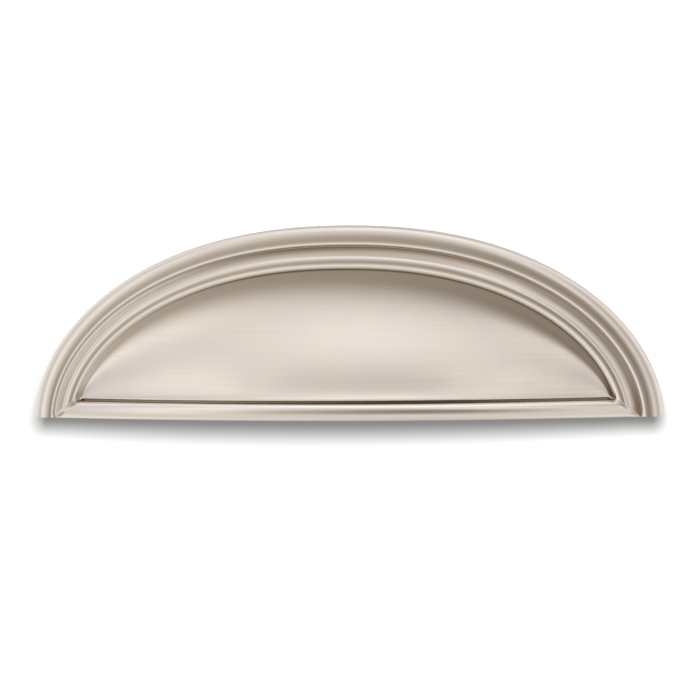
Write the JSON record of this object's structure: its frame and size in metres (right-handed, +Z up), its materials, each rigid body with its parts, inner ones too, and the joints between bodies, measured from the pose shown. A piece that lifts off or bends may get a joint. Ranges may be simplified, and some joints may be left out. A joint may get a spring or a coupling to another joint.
{
  "type": "cup pull",
  "caption": "Half-ellipse cup pull for a drawer: moulded backplate, hollow ogee face bowing out to a beaded lip, tapped posts behind.",
  "frame": {"origin": "on the mounting plane, midway between the two tapped fixing holes", "axes": "+X to the right seen from the front, +Y back into the drawer front, +Z up, so the lip opens down and the front faces -Y"},
  "size_m": [0.133, 0.0215, 0.0403],
  "materials": {
    "satin_nickel": "satin brushed nickel plating"
  },
  "bodies": {
    "root": {"cup_pull": "satin_nickel"}
  },
  "joints": []
}
